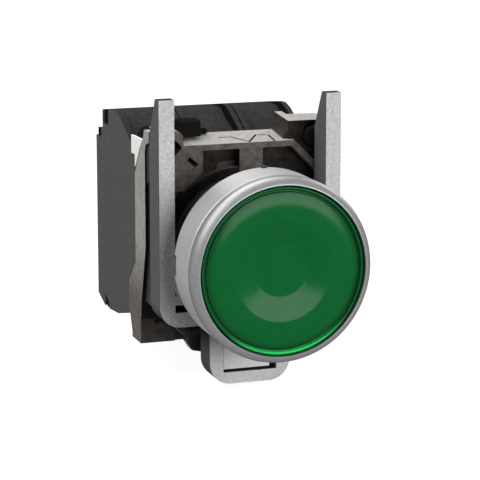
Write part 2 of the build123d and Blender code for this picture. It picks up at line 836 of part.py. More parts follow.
def make_terminal(center, arm_front, button_side, sign):
    """Bent brass strip: contact arm, riser and the plate under the terminal screw."""
    arm_rear = arm_front + strip_thickness
    riser_low = strip_riser_z - strip_thickness
    plate_rear = terminal_plate_front + strip_thickness
    strip = side_prism([
        (arm_front, sign * strip_inner_z),
        (arm_front, sign * strip_riser_z),
        (terminal_plate_front, sign * strip_riser_z),
        (terminal_plate_front, sign * terminal_plate_end),
        (plate_rear, sign * terminal_plate_end),
        (plate_rear, sign * riser_low),
        (arm_rear, sign * riser_low),
        (arm_rear, sign * strip_inner_z),
    ], center - strip_half_width, center + strip_half_width)
    strip -= rod(terminal_screw_radius + terminal_screw_fit, terminal_plate_front - 1, plate_rear + 1,
                 center, sign * terminal_z)
    if button_side < 0:
        strip += rod(contact_radius, arm_front - contact_thickness, arm_front, center, sign * contact_z)
    if button_side > 0:
        strip += rod(contact_radius, arm_rear, arm_rear + contact_thickness, center, sign * contact_z)
    return strip


def make_terminals(center, arm_front, button_side):
    """The two fixed terminals of one block."""
    return [make_terminal(center, arm_front, button_side, sign) for sign in (1, -1)]


def clamp_plate_front():
    """Front face of the cable clamps, just behind the terminal plates."""
    return terminal_plate_front + strip_thickness + clamp_plate_gap


def make_cable_clamp(center, z):
    """Captive clamp: a square plate with a leg turned down at each side."""
    front = clamp_plate_front()
    plate = box(center - clamp_plate_half, center + clamp_plate_half, front, front + clamp_plate_thickness,
                z - 2.2, z + 2.2)
    for side in (-1, 1):
        x0, x1 = sorted((center + side * clamp_plate_half, center + side * (clamp_plate_half - 0.6)))
        plate += box(x0, x1, front - clamp_plate_leg, front, z - 2.2, z + 2.2)
    return plate - rod(terminal_screw_radius + 0.15, front - 1, front + 2, center, z)


def make_terminal_screw(center, z):
    """Pan screw with a cross slot, held in its chamber."""
    seat = clamp_plate_front() + clamp_plate_thickness + terminal_screw_fit
    screw = rod(terminal_screw_radius, seat - terminal_screw_length, seat, center, z)
    head = rod(terminal_head_radius, seat, seat + terminal_head_height, center, z)
    head = fillet(head.edges().filter_by(GeomType.CIRCLE).sort_by(Axis.Y)[-1], 0.5)
    head_rear = seat + terminal_head_height
    head -= box(center - 1.7, center + 1.7, head_rear - 0.9, head_rear + 1, z - 0.3, z + 0.3)
    head -= box(center - 0.3, center + 0.3, head_rear - 0.9, head_rear + 1, z - 1.7, z + 1.7)
    return screw + head


def make_contact_spring(center):
    """Return spring of a plunger, between the carriage and the cover."""
    start = carriage_front + carriage_length
    return coil(return_radius, return_wire, start, cover_front, return_turns, center)


def make_release(sign):
    """White moulded release lever at the outer front corner of a contact block."""
    rear = shoulder_y - 0.1
    bottom = block_shoulder_z + release_foot_rise
    outline = release_edge(release_clearance) + [
        (rear, block_shoulder_z + release_top_rise - 0.15),
        (rear, bottom),
        (side_plate_rear, bottom),
        (side_plate_rear, block_shoulder_z - release_tip_drop + 0.5),
    ]
    x0, x1 = sorted((sign * (frame_half - release_thickness), sign * frame_half))
    release = side_prism(outline, x0, x1)
    return release - rod(clamp_screw_radius + 0.15, plate_front - 1, rear + 1, sign * screw_x, screw_z)


def make_catch():
    """Black moulded catch that stands on the collar's deck in front of the left block."""
    x0 = -screw_x + low_boss_reach + catch_gap
    x1 = x0 + catch_width
    front = plate_front + catch_setback
    deck = rim_top + deck_rise + 0.05
    body = box(x0, x1, front, collar_rear, catch_bottom, catch_top)
    leg = box(x0 + 0.8, x1 - 0.8, front + 1.0, collar_rear - 0.6, deck, catch_bottom)
    foot = box(x1 - 0.5, x1 + catch_foot_length, collar_rear - 1.3, collar_rear, deck, deck + 0.75)
    return fillet(body.edges().filter_by(Axis.X).group_by(Axis.Z)[-1], 0.4) + leg + foot


def make_lamp():
    """Light-emitting lamp: base in the block, clear body with a domed front inside the carrier."""
    dome_start = lamp_front + lamp_radius * 0.6
    middle = (lamp_radius * 0.62, lamp_front + lamp_radius * 0.13)
    dome = ThreePointArc((0, lamp_front), middle, (lamp_radius, dome_start))
    rest = Polyline(
        (lamp_radius, dome_start),
        (lamp_radius, block_front - 0.3),
        (lamp_base_radius, block_front - 0.3),
        (lamp_base_radius, board_front),
        (0, board_front),
        (0, lamp_front),
    )
    return revolve(make_face(dome + rest), Axis.Y, 360)


def make_light_housing():
    """Housing of the light block, with the round socket of the lamp."""
    return make_housing(0, rod(lamp_base_radius + lamp_fit, block_front - 1, cavity_front + 1))


def make_board():
    """Circuit board that feeds the lamp."""
    return box(-board_thickness / 2, board_thickness / 2, board_front, open_arm_front,
               -board_half_height, board_half_height)


os.makedirs("parts", exist_ok=True)

left = -block_pitch
right = block_pitch
terminal_places = [(x, z) for x in (left, 0, right) for z in (-terminal_z, terminal_z)]
open_bridge_front = open_arm_front - contact_thickness - contact_gap - contact_thickness - bridge_thickness
closed_bridge_front = closed_arm_front + strip_thickness + 2 * contact_thickness + closed_gap

nodes = {
    "bezel": make_bezel(),
    "seal_gasket": make_gasket(),
    "lens": make_lens(),
    "lens_carrier": make_carrier(),
    "pusher_ring": make_pusher_ring(),
    "return_spring": make_return_spring(),
    "inner_seal": make_inner_seal(),
    "collar_body": make_collar(),
    "clamp_frame": make_clamp_frame(),
    "clamp_screw_left": make_clamp_screw(-screw_x),
    "clamp_screw_right": make_clamp_screw(screw_x),
    "locking_ring": make_locking_ring(),
    "block_catch": make_catch(),
    "left_housing": make_contact_housing(left, -1),
    "left_cover": make_cover(left),
    "left_plunger": make_plunger(left, -1),
    "left_plunger_spring": make_contact_spring(left),
    "left_bridge": make_bridge(left, open_bridge_front, True),
    "left_terminals": make_terminals(left, open_arm_front, -1),
    "left_release": make_release(-1),
    "right_housing": make_contact_housing(right, 1),
    "right_cover": make_cover(right),
    "right_plunger": make_plunger(right, 1),
    "right_plunger_spring": make_contact_spring(right),
    "right_bridge": make_bridge(right, closed_bridge_front, False),
    "right_terminals": make_terminals(right, closed_arm_front, 1),
    "right_release": make_release(1),
    "light_housing": make_light_housing(),
    "light_cover": make_cover(0),
    "light_lamp": make_lamp(),
    "light_board": make_board(),
    "light_terminals": make_terminals(0, open_arm_front, 0),
    "terminal_screws": [make_terminal_screw(x, z) for x, z in terminal_places],
    "cable_clamps": [make_cable_clamp(x, z) for x, z in terminal_places],
}

for name, shape in nodes.items():
    if isinstance(shape, list):
        shape = Compound(children=shape)
    export_step(shape, f"parts/{name}.step")
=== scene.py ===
from math import cos, pi, radians, sin

import bmesh
import bpy
from mathutils import Matrix, Vector


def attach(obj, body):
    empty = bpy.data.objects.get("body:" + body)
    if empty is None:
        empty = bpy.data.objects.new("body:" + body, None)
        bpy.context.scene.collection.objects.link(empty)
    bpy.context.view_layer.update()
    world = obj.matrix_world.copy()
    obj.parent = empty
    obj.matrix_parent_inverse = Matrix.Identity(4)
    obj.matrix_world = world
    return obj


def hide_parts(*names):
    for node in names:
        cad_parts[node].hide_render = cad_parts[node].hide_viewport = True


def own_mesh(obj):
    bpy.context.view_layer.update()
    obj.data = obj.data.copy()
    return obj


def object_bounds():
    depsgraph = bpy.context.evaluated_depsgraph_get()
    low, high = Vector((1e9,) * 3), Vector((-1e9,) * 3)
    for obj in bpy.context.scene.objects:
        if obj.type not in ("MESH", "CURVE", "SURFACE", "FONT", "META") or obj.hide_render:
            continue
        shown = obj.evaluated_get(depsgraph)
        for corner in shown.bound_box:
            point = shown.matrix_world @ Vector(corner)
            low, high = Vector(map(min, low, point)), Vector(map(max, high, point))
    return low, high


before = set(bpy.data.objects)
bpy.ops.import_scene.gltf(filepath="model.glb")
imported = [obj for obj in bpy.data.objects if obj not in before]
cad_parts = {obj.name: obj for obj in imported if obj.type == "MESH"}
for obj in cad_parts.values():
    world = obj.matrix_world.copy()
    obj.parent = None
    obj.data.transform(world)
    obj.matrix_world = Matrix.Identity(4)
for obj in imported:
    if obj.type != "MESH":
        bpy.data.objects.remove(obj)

MM = 0.001
cad_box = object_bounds()
scene = bpy.context.scene

# Camera: to the left of the button and above it, looking down at it, as the photograph was taken.
# A long lens keeps the uprights of the clamp frame almost parallel in the picture.
camera_place = Vector((-107.515, -311.074, 72.349)) * MM
camera_pitch = radians(-11.923)
camera_turn = radians(-18.471)
camera_lens = 162.543
sensor_width = 36.0
nearest_seen = 0.01

camera_data = bpy.data.cameras.new("camera")
camera_data.lens = camera_lens
camera_data.sensor_width = sensor_width
camera_data.clip_start = nearest_seen
camera = bpy.data.objects.new("camera", camera_data)
camera.location = camera_place
camera.rotation_euler = (radians(90) + camera_pitch, 0, camera_turn)
scene.collection.objects.link(camera)
scene.camera = camera
scene.view_settings.view_transform = "Standard"

# Studio: a white floor under the tab, white surroundings and four soft lamps.
# One broad lamp stands in front and to the right, where the lens mirrors it.
floor_gap = 0.5
floor_height = cad_box[0][2] - floor_gap * MM
floor_size = 6.0
floor_glow = 0.94
floor_paint_color = (0.14, 0.14, 0.14, 1)
white = (1, 1, 1, 1)
world_light = 0.06
backdrop_light = 1.0
lamp_target = Vector((0, 0.01, 0))


def node_tree(material_or_world):
    """Empties a material's or world's tree and returns its nodes and links."""
    material_or_world.use_nodes = True
    tree = material_or_world.node_tree
    tree.nodes.clear()
    return tree.nodes, tree.links


def compute(nodes, links, operation, first, second=None):
    """Result of one arithmetic step on sockets or numbers."""
    step = nodes.new("ShaderNodeMath")
    step.operation = operation
    for socket, value in zip(step.inputs, (first, second)):
        if isinstance(value, (int, float)):
            socket.default_value = value
        elif value is not None:
            links.new(value, socket)
    return step.outputs[0]


def seen_directly(nodes, links):
    """1 for rays from the camera and for those that metal or glass sends on, 0 for all others."""
    path = nodes.new("ShaderNodeLightPath").outputs
    camera_or_metal = compute(nodes, links, "MAXIMUM", path["Is Camera Ray"], path["Is Glossy Ray"])
    return compute(nodes, links, "MAXIMUM", camera_or_metal, path["Is Transmission Ray"])


world = bpy.data.worlds.new("studio")
scene.world = world
nodes, links = node_tree(world)
ambient = nodes.new("ShaderNodeBackground")
ambient.inputs["Color"].default_value = white
ambient.inputs["Strength"].default_value = world_light
backdrop = nodes.new("ShaderNodeBackground")
backdrop.inputs["Color"].default_value = white
backdrop.inputs["Strength"].default_value = backdrop_light
world_mix = nodes.new("ShaderNodeMixShader")
links.new(seen_directly(nodes, links), world_mix.inputs[0])
links.new(ambient.outputs[0], world_mix.inputs[1])
links.new(backdrop.outputs[0], world_mix.inputs[2])
world_out = nodes.new("ShaderNodeOutputWorld")
links.new(world_mix.outputs[0], world_out.inputs["Surface"])

floor_mesh = bpy.data.meshes.new("floor")
bm = bmesh.new()
bmesh.ops.create_grid(bm, x_segments=1, y_segments=1, size=floor_size / 2,
                      matrix=Matrix.Translation((0, 0, floor_height)))
bm.to_mesh(floor_mesh)
bm.free()
floor = bpy.data.objects.new("floor", floor_mesh)
scene.collection.objects.link(floor)
floor_white = bpy.data.materials.new("floor_white")
nodes, links = node_tree(floor_white)
floor_paint = nodes.new("ShaderNodeBsdfDiffuse")
floor_paint.inputs["Color"].default_value = floor_paint_color
floor_light = nodes.new("ShaderNodeEmission")
floor_light.inputs["Color"].default_value = white
floor_level = compute(nodes, links, "MULTIPLY", seen_directly(nodes, links), floor_glow)
links.new(floor_level, floor_light.inputs["Strength"])
floor_sum = nodes.new("ShaderNodeAddShader")
links.new(floor_paint.outputs[0], floor_sum.inputs[0])
links.new(floor_light.outputs[0], floor_sum.inputs[1])
floor_out = nodes.new("ShaderNodeOutputMaterial")
links.new(floor_sum.outputs[0], floor_out.inputs["Surface"])
floor_mesh.materials.append(floor_white)


def soft_lamp(name, place, size, power):
    """Rectangular area lamp that points at the button."""
    data = bpy.data.lights.new(name, "AREA")
    data.shape = "RECTANGLE"
    data.size, data.size_y = size
    data.energy = power
    lamp = bpy.data.objects.new(name, data)
    lamp.location = place
    aim = lamp_target - Vector(place)
    lamp.rotation_euler = aim.to_track_quat("-Z", "Y").to_euler()
    scene.collection.objects.link(lamp)


soft_lamp("front_lamp", (0.25, -0.74, 0.13), (0.62, 0.36), 6.6)
soft_lamp("left_lamp", (-0.55, -0.02, 0.46), (0.54, 0.44), 3.9)
soft_lamp("top_lamp", (-0.10, 0.30, 0.63), (0.60, 0.56), 6.2)
soft_lamp("back_lamp", (0.60, 0.42, 0.34), (0.40, 0.40), 3.4)

# Bezel: zinc casting with a satin coat, a rounded front ring on a plain side wall.
# The wall's rear rim has four keying notches. The sleeve goes through the panel, and its
# groove with two entries takes the lugs of the locking ring.
ring_radius = 14.5
ring_front = -10.4
ring_fall = 1.7
ring_depth = 2.8
ring_rear = ring_front + ring_depth
ring_arc_start = radians(24)
ring_arc_steps = 12
ring_rounding = 0.1
lip_width = 0.12
lip_depth = 0.35
lip_corner = 0.04
wall_radius = 14.4
wall_corner = 0.08
line_depth = 0.35
line_width = 0.3
cavity_radius = 13.2
bezel_rear = -0.4
bezel_floor_front = -1.9
rear_corner = 0.15
sleeve_radius = 10.9
sleeve_rear = 16.6
sleeve_bore = 9.3
lug_groove_front = 13.6
lug_groove_rear = 15.4
lug_groove_depth = 0.7
lug_entry_half = 2.12
lug_entry_turn = radians(25)
spring_bore = 9.5
shoulder_bore = 7.9
shoulder_front = 5.2
shoulder_rear = 6.4
notch_widths = (3.2, 1.0, 3.2, 1.0)
notch_depth = 1.0
notch_reach = 1.2
cut_margin = 1.0
turn_steps = 160
weld_distance = 1e-6
flat_face_weight = 80

zinc_grain = 2500.0
shaded_hollow_start = 12.9
shaded_hollow_end = 14.25
painted_light_wall_start = 14.3
painted_tone_start = -8.0

noise_detail = 3.0
noise_roughness = 0.55
grain_band = (0.3, 0.7)
coat_roughness = 0.1


def noise(nodes, links, scale):
    """Noise pattern in the object's own space, with scale in grains a metre."""
    place = nodes.new("ShaderNodeTexCoord")
    mapping = nodes.new("ShaderNodeMapping")
    mapping.inputs["Scale"].default_value = (scale, scale, scale)
    links.new(place.outputs["Object"], mapping.inputs["Vector"])
    pattern = nodes.new("ShaderNodeTexNoise")
    pattern.inputs["Scale"].default_value = 1.0
    pattern.inputs["Detail"].default_value = noise_detail
    pattern.inputs["Roughness"].default_value = noise_roughness
    links.new(mapping.outputs["Vector"], pattern.inputs["Vector"])
    return pattern.outputs["Fac"]


def ramp(nodes, links, source, low, high):
    """Colour from low to high as the source crosses the grain band."""
    band = nodes.new("ShaderNodeValToRGB")
    for element, position, color in zip(band.color_ramp.elements, grain_band, (low, high)):
        element.position = position
        element.color = (*color, 1)
    links.new(source, band.inputs["Fac"])
    return band.outputs["Color"]


def map_range(nodes, links, source, low, high, start, end):
    """Value from low to high as the source goes from start to end."""
    span = nodes.new("ShaderNodeMapRange")
    span.inputs["From Min"].default_value = start
    span.inputs["From Max"].default_value = end
    span.inputs["To Min"].default_value = low
    span.inputs["To Max"].default_value = high
    links.new(source, span.inputs["Value"])
    return span.outputs["Result"]


def finish(name, dark, light, grain, roughness=(0.4, 0.5), metallic=0.0, bump=0.1, bump_depth=0.02,
           coat=0.0, cloud=120.0):
    """Material with fine grain in its colour, broad clouding in its gloss, and a slight relief.

    dark and light are the two colours of the grain, grain is the number of grains a metre and
    bump_depth is the relief in millimetres.
    """
    material = bpy.data.materials.new(name)
    nodes, links = node_tree(material)
    shader = nodes.new("ShaderNodeBsdfPrincipled")
    out = nodes.new("ShaderNodeOutputMaterial")
    links.new(shader.outputs["BSDF"], out.inputs["Surface"])
    fine = noise(nodes, links, grain)
    links.new(ramp(nodes, links, fine, dark, light), shader.inputs["Base Color"])
    clouding = map_range(nodes, links, noise(nodes, links, cloud), *roughness, *grain_band)
    links.new(clouding, shader.inputs["Roughness"])
    shader.inputs["Metallic"].default_value = metallic
    shader.inputs["Coat Weight"].default_value = coat
    shader.inputs["Coat Roughness"].default_value = coat_roughness
    relief = nodes.new("ShaderNodeBump")
    relief.inputs["Strength"].default_value = bump
    relief.inputs["Distance"].default_value = bump_depth * MM
    links.new(fine, relief.inputs["Height"])
    links.new(relief.outputs["Normal"], shader.inputs["Normal"])
    return material


def tree_of(material):
    """Nodes and links of a finish."""
    return material.node_tree.nodes, material.node_tree.links


def shader_of(material):
    """Main shader of a finish."""
    return next(node for node in material.node_tree.nodes if node.type == "BSDF_PRINCIPLED")


def quiet(material, level):
    """Sets how strongly a finish mirrors what faces it; 0.5 is plain plastic."""
    shader_of(material).inputs["Specular IOR Level"].default_value = level


def blend_in(material, amount, dark, light, grain):
    """Mixes a second grained colour into a finish by an amount from 0 to 1."""
    nodes, links = tree_of(material)
    base_color = shader_of(material).inputs["Base Color"]
    first_color = base_color.links[0].from_socket
    mix = nodes.new("ShaderNodeMix")
    mix.data_type = "RGBA"
    links.new(amount, mix.inputs["Factor"])
    links.new(first_color, mix.inputs["A"])
    links.new(ramp(nodes, links, noise(nodes, links, grain), dark, light), mix.inputs["B"])
    links.new(mix.outputs["Result"], base_color)


def split_place(nodes, links, output):
    """X, Y and Z sockets of the object coordinates or of the surface's own direction."""
    place = nodes.new("ShaderNodeTexCoord")
    parts = nodes.new("ShaderNodeSeparateXYZ")
    links.new(place.outputs[output], parts.inputs["Vector"])
    return parts.outputs["X"], parts.outputs["Y"], parts.outputs["Z"]


def from_axis(nodes, links):
    """Distance of a surface point from the button's axis, in metres."""
    across, _, upward = split_place(nodes, links, "Object")
    flat = nodes.new("ShaderNodeCombineXYZ")
    links.new(across, flat.inputs["X"])
    links.new(upward, flat.inputs["Y"])
    length = nodes.new("ShaderNodeVectorMath")
    length.operation = "LENGTH"
    links.new(flat.outputs["Vector"], length.inputs[0])
    return length.outputs["Value"]


def spun_mesh(bm, profile, steps, closed=True):
    """Turns an outline of (radius, y) points in millimetres about the button's axis."""
    corners = [bm.verts.new((radius * MM, y * MM, 0)) for radius, y in profile]
    pairs = list(zip(corners[:-1], corners[1:]))
    if closed:
        pairs.append((corners[-1], corners[0]))
    edges = [bm.edges.new(pair) for pair in pairs]
    bmesh.ops.spin(bm, geom=corners + edges, cent=(0, 0, 0), axis=(0, 1, 0), dvec=(0, 0, 0),
                   angle=2 * pi, steps=steps, use_merge=True)
    bmesh.ops.remove_doubles(bm, verts=bm.verts, dist=weld_distance)
    bmesh.ops.recalc_face_normals(bm, faces=bm.faces)


def new_piece(name, bm, material, body="body"):
    """Object for a finished mesh, riding on its body."""
    mesh = bpy.data.meshes.new(name)
    bm.to_mesh(mesh)
    bm.free()
    mesh.materials.append(material)
    piece = bpy.data.objects.new(name, mesh)
    scene.collection.objects.link(piece)
    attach(piece, body)
    return piece


def soften(piece):
    """Shades a piece's faces as one smooth surface."""
    piece.data.polygons.foreach_set("use_smooth", [True] * len(piece.data.polygons))


def soft_edges(piece, width, segments=2, angle=35.0):
    """Rounds a piece's sharp edges and keeps its flat faces flat."""
    soften(piece)
    rounding = piece.modifiers.new("rounding", "BEVEL")
    rounding.width = width * MM
    rounding.segments = segments
    rounding.limit_method = "ANGLE"
    rounding.angle_limit = radians(angle)
    rounding.use_clamp_overlap = True
    weights = piece.modifiers.new("shading", "WEIGHTED_NORMAL")
    weights.keep_sharp = False
    weights.weight = flat_face_weight


def add_cutter(bm, low, high, turn):
    """Adds a closed box, turned about the button's axis, to a mesh that is used as a cutter."""
    centre = [(a + b) / 2 * MM for a, b in zip(low, high)]
    size = [(b - a) * MM for a, b in zip(low, high)]
    part = bmesh.new()
    bmesh.ops.create_cube(part, size=1.0, matrix=Matrix.Translation(centre) @ Matrix.Diagonal((*size, 1)))
    bmesh.ops.rotate(part, verts=part.verts, cent=(0, 0, 0), matrix=Matrix.Rotation(turn, 3, "Y"))
    cut_mesh = bpy.data.meshes.new("cut")
    part.to_mesh(cut_mesh)
    part.free()
    bm.from_mesh(cut_mesh)
    bpy.data.meshes.remove(cut_mesh)


def carve(piece, cutter_bm):
    """Cuts a closed cutter mesh out of a piece and keeps the result in the piece's own mesh."""
    cutter_mesh = bpy.data.meshes.new("cutter")
    cutter_bm.to_mesh(cutter_mesh)
    cutter_bm.free()
    cutter = bpy.data.objects.new("cutter", cutter_mesh)
    scene.collection.objects.link(cutter)
    cut = piece.modifiers.new("cut", "BOOLEAN")
    cut.operation = "DIFFERENCE"
    cut.solver = "EXACT"
    cut.object = cutter
    bpy.context.view_layer.update()
    evaluated = piece.evaluated_get(bpy.context.evaluated_depsgraph_get())
    result = bpy.data.meshes.new_from_object(evaluated)
    piece.modifiers.clear()
    old = piece.data
    piece.data = result
    bpy.data.meshes.remove(old)
    bpy.data.objects.remove(cutter)
    bpy.data.meshes.remove(cutter_mesh)


satin_zinc = finish("satin_zinc", (0.20, 0.20, 0.203), (0.24, 0.24, 0.243), zinc_grain,
                    roughness=(0.42, 0.47), metallic=0.85, bump=0.12, bump_depth=0.01)
quiet(satin_zinc, 0.2)
shader_of(satin_zinc).inputs["Specular Tint"].default_value = (0.3, 0.3, 0.3, 1)
nodes, links = tree_of(satin_zinc)
radius = from_axis(nodes, links)
behind_ring = compute(nodes, links, "GREATER_THAN", split_place(nodes, links, "Object")[1], painted_tone_start * MM)
# painted shade: the joint line, the keying notches and the inside of the wall are painted darker, as shade
# in these hollows
inward = compute(nodes, links, "MULTIPLY",
                 compute(nodes, links, "LESS_THAN", radius, shaded_hollow_end * MM),
                 compute(nodes, links, "GREATER_THAN", radius, shaded_hollow_start * MM))
blend_in(satin_zinc, compute(nodes, links, "MULTIPLY", inward, behind_ring),
         (0.02, 0.02, 0.02), (0.03, 0.03, 0.03), zinc_grain)
# painted light: the wall is painted paler than the ring, for the light that falls on its side; both carry
# the same satin coat
outer = compute(nodes, links, "GREATER_THAN", radius, painted_light_wall_start * MM)
blend_in(satin_zinc, compute(nodes, links, "MULTIPLY", outer, behind_ring),
         (0.37, 0.37, 0.373), (0.42, 0.42, 0.423), zinc_grain)

ring_inner = cavity_radius + lip_width
arc_rest = 1 - sin(ring_arc_start)
arc_angles = [
    ring_arc_start + (pi / 2 - ring_arc_start) * i / ring_arc_steps
    for i in range(ring_arc_steps + 1)
]
ring_arc = [
    (ring_inner + (ring_radius - ring_inner) * (sin(angle) - sin(ring_arc_start)) / arc_rest,
     ring_front + ring_fall * (1 - cos(angle) / cos(ring_arc_start)))
    for angle in arc_angles
]
bezel_profile = [
    (cavity_radius, ring_front + lip_depth),
    (cavity_radius + lip_corner, ring_front + 2 * lip_corner),
    *ring_arc,
    (ring_radius, ring_rear - ring_rounding),
    (ring_radius - ring_rounding, ring_rear),
    (wall_radius - line_depth, ring_rear),
    (wall_radius - line_depth, ring_rear + line_width),
    (wall_radius - wall_corner, ring_rear + line_width),
    (wall_radius, ring_rear + line_width + wall_corner),
    (wall_radius, bezel_rear - rear_corner),
    (wall_radius - rear_corner, bezel_rear),
    (sleeve_radius, bezel_rear),
    (sleeve_radius, lug_groove_front),
    (sleeve_radius - lug_groove_depth, lug_groove_front),
    (sleeve_radius - lug_groove_depth, lug_groove_rear),
    (sleeve_radius, lug_groove_rear),
    (sleeve_radius, sleeve_rear - rear_corner),
    (sleeve_radius - rear_corner, sleeve_rear),
    (sleeve_bore, sleeve_rear),
    (sleeve_bore, shoulder_rear),
    (shoulder_bore, shoulder_rear),
    (shoulder_bore, shoulder_front),
    (spring_bore, shoulder_front),
    (spring_bore, bezel_floor_front),
    (cavity_radius, bezel_floor_front),
]
bm = bmesh.new()
spun_mesh(bm, bezel_profile, turn_steps)
bezel = new_piece("bezel_turned", bm, satin_zinc)
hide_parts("bezel")

bm = bmesh.new()
for quarter, width in enumerate(notch_widths):
    add_cutter(bm, (wall_radius - notch_reach, bezel_rear - notch_depth, -width / 2),
               (wall_radius + cut_margin, bezel_rear + cut_margin, width / 2), pi / 2 * quarter)
for side in (0, pi):
    add_cutter(bm, (sleeve_radius - lug_groove_depth, lug_groove_front, -lug_entry_half),
               (sleeve_radius + cut_margin, sleeve_rear + cut_margin, lug_entry_half), side - lug_entry_turn)
carve(bezel, bm)
soft_edges(bezel, 0.06, 1, 40.0)

# Seals: a flat black rubber gasket between the bezel's rear rim and the panel, and a
# rubber ring round the sliding tube behind the bezel's shoulder.


def dress(node_name, material, width):
    """Gives a CAD node its finish and slightly rounded edges."""
    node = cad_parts[node_name]
    node.data.materials.clear()
    node.data.materials.append(material)
    join = node.modifiers.new("join", "WELD")
    join.merge_threshold = weld_distance
    soft_edges(node, width)


black_rubber = finish("black_rubber", (0.012, 0.012, 0.012), (0.022, 0.022, 0.022), 3000.0,
                      roughness=(0.75, 0.85), bump=0.2, bump_depth=0.02)
quiet(black_rubber, 0.0)
dress("seal_gasket", black_rubber, 0.05)
dress("inner_seal", black_rubber, 0.05)

# Lens: clear green moulded cap with a narrow rim painted bright at its foot, a thin groove inside the rim,
# a rounded shoulder and a shallow dish for the finger. It snaps over the carrier.
lens_radius = 13.0
lens_front = -10.0
lens_rear = -5.7
lens_inner_front = -7.2
lens_middle = 0.5
skirt_wall = 1.2
lens_rim = 0.45
lens_groove = 0.35
lens_groove_depth = 0.2
cone_slope = 0.22
cone_start = (3.9, 4.5)
cone_end = (7.6, 8.2)
middle_slope = 0.03
middle_reach = 4.0
edge_slope = 0.26
edge_start = 9.2
face_steps = 72
rim_steps = 10

lens_grain = 500.0
lens_bending = 1.49
deep_edge = (11.2, 12.2)
deep_edge_share = 0.8
rim_edge = (12.45, 12.6)
painted_glow_across = 0.06
painted_glow_start = 0.68


def smooth(start, end, value):
    """Rises smoothly from 0 to 1 as the value goes from start to end."""
    part = min(max((value - start) / (end - start), 0.0), 1.0)
    return part * part * (3 - 2 * part)


def lens_face(steps):
    """Outline of the lens face from its middle to the groove, as (radius, y) points."""
    shoulder_end = lens_radius - lens_rim - lens_groove
    heights = [0.0]
    for i in range(steps):
        radius = shoulder_end * (i + 0.5) / steps
        cone = smooth(*cone_start, radius) * (1 - smooth(*cone_end, radius))
        middle = radius / middle_reach * (1 - smooth(middle_reach, 2 * middle_reach, radius))
        fall = smooth(edge_start, shoulder_end, radius)
        slope = -cone_slope * cone - middle_slope * middle + edge_slope * fall
        heights.append(heights[-1] + slope * shoulder_end / steps)
    crest = min(heights)
    return [(shoulder_end * i / steps, lens_front + height - crest) for i, height in enumerate(heights)]


lens_green = finish("lens_green", (0.0, 0.101, 0.019), (0.0, 0.110, 0.022), lens_grain,
                    roughness=(0.15, 0.19), bump=0.02, bump_depth=0.004, cloud=90.0)
quiet(lens_green, 0.08)
shader_of(lens_green).inputs["IOR"].default_value = lens_bending
nodes, links = tree_of(lens_green)
across, _, upward = split_place(nodes, links, "Object")
radius = from_axis(nodes, links)
# the edge of the face is deeper in colour, and the rim's foot is painted bright green, a painted glow of the
# light that gathers in the rim
edge = map_range(nodes, links, radius, 0.0, 1.0, deep_edge[0] * MM, deep_edge[1] * MM)
blend_in(lens_green, compute(nodes, links, "MULTIPLY", edge, deep_edge_share),
         (0.002, 0.045, 0.012), (0.002, 0.050, 0.014), lens_grain)
rim = map_range(nodes, links, radius, 0.0, 1.0, rim_edge[0] * MM, rim_edge[1] * MM)
blend_in(lens_green, rim, (0.0, 0.085, 0.014), (0.0, 0.095, 0.018), lens_grain)
toward_foot = compute(nodes, links, "SUBTRACT",
                      compute(nodes, links, "MULTIPLY", across, painted_glow_across), upward)
toward_foot = compute(nodes, links, "DIVIDE", toward_foot, radius)
painted_rim_glow = map_range(nodes, links, toward_foot, 0.0, 1.0, painted_glow_start, 1.0)
blend_in(lens_green, compute(nodes, links, "MULTIPLY", rim, painted_rim_glow),
         (0.010, 0.60, 0.11), (0.012, 0.66, 0.13), lens_grain)

rim_inner = lens_radius - lens_rim
rim_half = lens_rim / 2
rim_arc = [
    (rim_inner + rim_half - rim_half * cos(pi * i / rim_steps),
     lens_front + rim_half - rim_half * sin(pi * i / rim_steps))
    for i in range(rim_steps + 1)
]
face = lens_face(face_steps)
groove_bottom = face[-1][1] + lens_groove_depth
lens_profile = [
    *face[1:],
    (rim_inner - lens_groove, groove_bottom),
    (rim_inner, groove_bottom),
    *rim_arc,
    (lens_radius, lens_rear),
    (lens_radius - skirt_wall, lens_rear),
    (lens_radius - skirt_wall, lens_inner_front),
    (lens_middle, lens_inner_front),
]
bm = bmesh.new()
spun_mesh(bm, lens_profile, turn_steps, closed=False)
open_edges = [edge for edge in bm.edges if edge.is_boundary]
bmesh.ops.holes_fill(bm, edges=open_edges, sides=0)
bmesh.ops.recalc_face_normals(bm, faces=bm.faces)
lens = new_piece("lens_cap", bm, lens_green, "button")
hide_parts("lens")
soft_edges(lens, 0.03, 1, 50.0)

# Carrier and pusher ring: white mouldings behind the lens. The carrier's tube slides in
# the sleeve, and the ring on its end presses the plungers.
white_moulding = finish("white_moulding", (0.70, 0.70, 0.68), (0.78, 0.78, 0.76), 900.0,
                        roughness=(0.38, 0.46), bump=0.08)
dress("lens_carrier", white_moulding, 0.1)
dress("pusher_ring", white_moulding, 0.08)

# Springs: bright drawn steel wire, one round the carrier's tube and one behind each plunger.
# Each coil rests on a fixed seat at its rear end; its joint and seat are listed below but not used, and the
# coil keeps its length.
cover_seat = 38.0
springs = (
    ("return_spring", "button_press", shoulder_front * MM, "return_coil"),
    ("left_plunger_spring", "left_plunger_press", cover_seat * MM, "left_plunger_coil"),
    ("right_plunger_spring", "right_plunger_press", cover_seat * MM, "right_plunger_coil"),
)
spring_steel = finish("spring_steel", (0.50, 0.50, 0.50), (0.62, 0.62, 0.61), 1800.0,
                      roughness=(0.22, 0.30), metallic=1.0, bump=0.05)
for spring, joint, seat, name in springs:
    bm = bmesh.new()
    bm.from_mesh(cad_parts[spring].data)
    bmesh.ops.remove_doubles(bm, verts=bm.verts, dist=weld_distance)
    coil = new_piece(name, bm, spring_steel)
    soften(coil)
    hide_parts(spring)
    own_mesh(coil)
